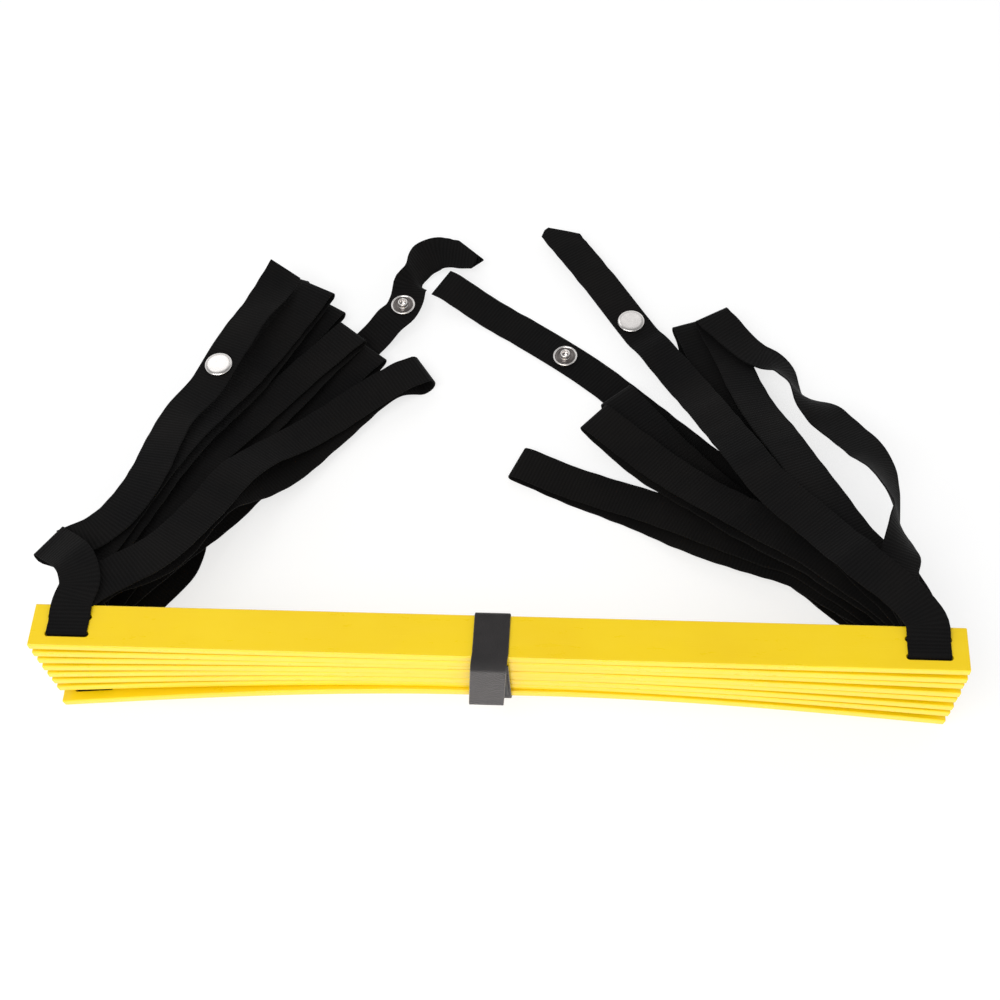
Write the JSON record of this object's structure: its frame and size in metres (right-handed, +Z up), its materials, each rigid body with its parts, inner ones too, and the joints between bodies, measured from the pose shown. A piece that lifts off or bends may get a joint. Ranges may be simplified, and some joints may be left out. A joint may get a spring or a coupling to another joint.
{
  "type": "agility ladder",
  "caption": "Agility ladder folded for storage: flat plastic rungs stacked in a hook-and-loop band, side straps looped behind them, and snap fasteners near the strap ends.",
  "frame": {"origin": "under the middle of the folded ladder's footprint, at floor level", "axes": "+X along the rungs, to the right as seen from the stack's front; +Y from the stack's front towards the looped straps; +Z up from the floor"},
  "size_m": [0.451, 0.323, 0.0649],
  "materials": {
    "rung_plastic": "smooth satin",
    "strap_webbing": "woven polyester webbing",
    "band_fabric": "brushed nylon tape",
    "patch_fabric": "hook-and-loop",
    "snap_nickel": "nickel plated, polished"
  },
  "bodies": {
    "rung_8": {"rung_8": "rung_plastic", "strap_left_tail_lower": "strap_webbing", "strap_right_tail_lower": "strap_webbing", "strap_left_loop_7": "strap_webbing", "strap_right_loop_7": "strap_webbing"},
    "rung_7": {"rung_7": "rung_plastic", "strap_left_loop_6": "strap_webbing", "strap_right_loop_6": "strap_webbing"},
    "rung_6": {"rung_6": "rung_plastic", "strap_left_loop_5": "strap_webbing", "strap_right_loop_5": "strap_webbing"},
    "rung_5": {"rung_5": "rung_plastic", "strap_left_loop_4": "strap_webbing", "strap_right_loop_4": "strap_webbing"},
    "rung_4": {"rung_4": "rung_plastic", "strap_left_loop_3": "strap_webbing", "strap_right_loop_3": "strap_webbing"},
    "rung_3": {"rung_3": "rung_plastic", "strap_left_loop_2": "strap_webbing", "strap_right_loop_2": "strap_webbing"},
    "rung_2": {"rung_2": "rung_plastic", "strap_left_loop_1": "strap_webbing", "strap_right_loop_1": "strap_webbing"},
    "rung_1": {"rung_1": "rung_plastic", "strap_left_tail_upper": "strap_webbing", "strap_right_tail_upper": "strap_webbing"},
    "band": {"band_ring": "band_fabric", "band_loop_patch": "patch_fabric"},
    "band_end": {"band_flap": "band_fabric", "band_hook_patch": "patch_fabric"},
    "left_upper_end": {"snap_left_upper_cap": "snap_nickel", "snap_left_upper_socket": "snap_nickel", "snap_left_upper_spring": "snap_nickel"},
    "left_lower_end": {"snap_left_lower_stud": "snap_nickel", "snap_left_lower_eyelet": "snap_nickel"},
    "right_upper_end": {"snap_right_upper_cap": "snap_nickel", "snap_right_upper_socket": "snap_nickel", "snap_right_upper_spring": "snap_nickel"},
    "right_lower_end": {"snap_right_lower_stud": "snap_nickel", "snap_right_lower_eyelet": "snap_nickel"}
  },
  "joints": [
    {"name": "fan_7", "type": "hinge", "parent": "rung_8", "child": "rung_7", "pos_m": [0.00601, -0.14458, 0.03092], "axis": [0, 0, 1], "range_deg": [-0.25, 0.25], "deforming": ["strap_left_loop_7", "strap_right_loop_7"]},
    {"name": "fan_6", "type": "hinge", "parent": "rung_7", "child": "rung_6", "pos_m": [0.00601, -0.14458, 0.03582], "axis": [0, 0, 1], "range_deg": [-0.25, 0.25], "deforming": ["strap_left_loop_6", "strap_right_loop_6"]},
    {"name": "fan_5", "type": "hinge", "parent": "rung_6", "child": "rung_5", "pos_m": [0.00601, -0.14458, 0.04072], "axis": [0, 0, 1], "range_deg": [-0.25, 0.25], "deforming": ["strap_left_loop_5", "strap_right_loop_5"]},
    {"name": "fan_4", "type": "hinge", "parent": "rung_5", "child": "rung_4", "pos_m": [0.00601, -0.14458, 0.04562], "axis": [0, 0, 1], "range_deg": [-0.25, 0.25], "deforming": ["strap_left_loop_4", "strap_right_loop_4"]},
    {"name": "fan_3", "type": "hinge", "parent": "rung_4", "child": "rung_3", "pos_m": [0.00601, -0.14458, 0.05052], "axis": [0, 0, 1], "range_deg": [-0.25, 0.25], "deforming": ["strap_left_loop_3", "strap_right_loop_3"]},
    {"name": "fan_2", "type": "hinge", "parent": "rung_3", "child": "rung_2", "pos_m": [0.00601, -0.14458, 0.05542], "axis": [0, 0, 1], "range_deg": [-0.25, 0.25], "deforming": ["strap_left_loop_2", "strap_right_loop_2"]},
    {"name": "fan_1", "type": "hinge", "parent": "rung_2", "child": "rung_1", "pos_m": [0.00601, -0.14458, 0.06032], "axis": [0, 0, 1], "range_deg": [-0.25, 0.25], "deforming": ["strap_left_loop_1", "strap_right_loop_1"]},
    {"name": "band_slide", "type": "slide", "parent": "rung_8", "child": "band", "axis": [1, 0, 0], "range_m": [-0.01, 0.01]},
    {"name": "band_open", "type": "hinge", "parent": "band", "child": "band_end", "pos_m": [0.00601, -0.15359, 0.06372], "axis": [-1, 0, 0], "range_deg": [0, 100]},
    {"name": "left_upper_lift", "type": "hinge", "parent": "rung_1", "child": "left_upper_end", "pos_m": [-0.1704, -0.00258, 0.03527], "axis": [0.9204, -0.3891, 0.0386], "range_deg": [0, 60], "deforming": ["strap_left_tail_upper"]},
    {"name": "left_lower_lift", "type": "hinge", "parent": "rung_8", "child": "left_lower_end", "pos_m": [-0.07294, 0.07523, 0.00737], "axis": [0.7183, -0.6956, -0.0131], "range_deg": [0, 60], "deforming": ["strap_left_tail_lower"]},
    {"name": "right_upper_lift", "type": "hinge", "parent": "rung_1", "child": "right_upper_end", "pos_m": [0.08946, 0.05191, 0.01153], "axis": [0.828, 0.5586, 0.0492], "range_deg": [0, 60], "deforming": ["strap_right_tail_upper"]},
    {"name": "right_lower_lift", "type": "hinge", "parent": "rung_8", "child": "right_lower_end", "pos_m": [0.0481, 0.05034, 0.00118], "axis": [0.6266, 0.7793, -0.0001], "range_deg": [0, 60], "deforming": ["strap_right_tail_lower"]}
  ]
}
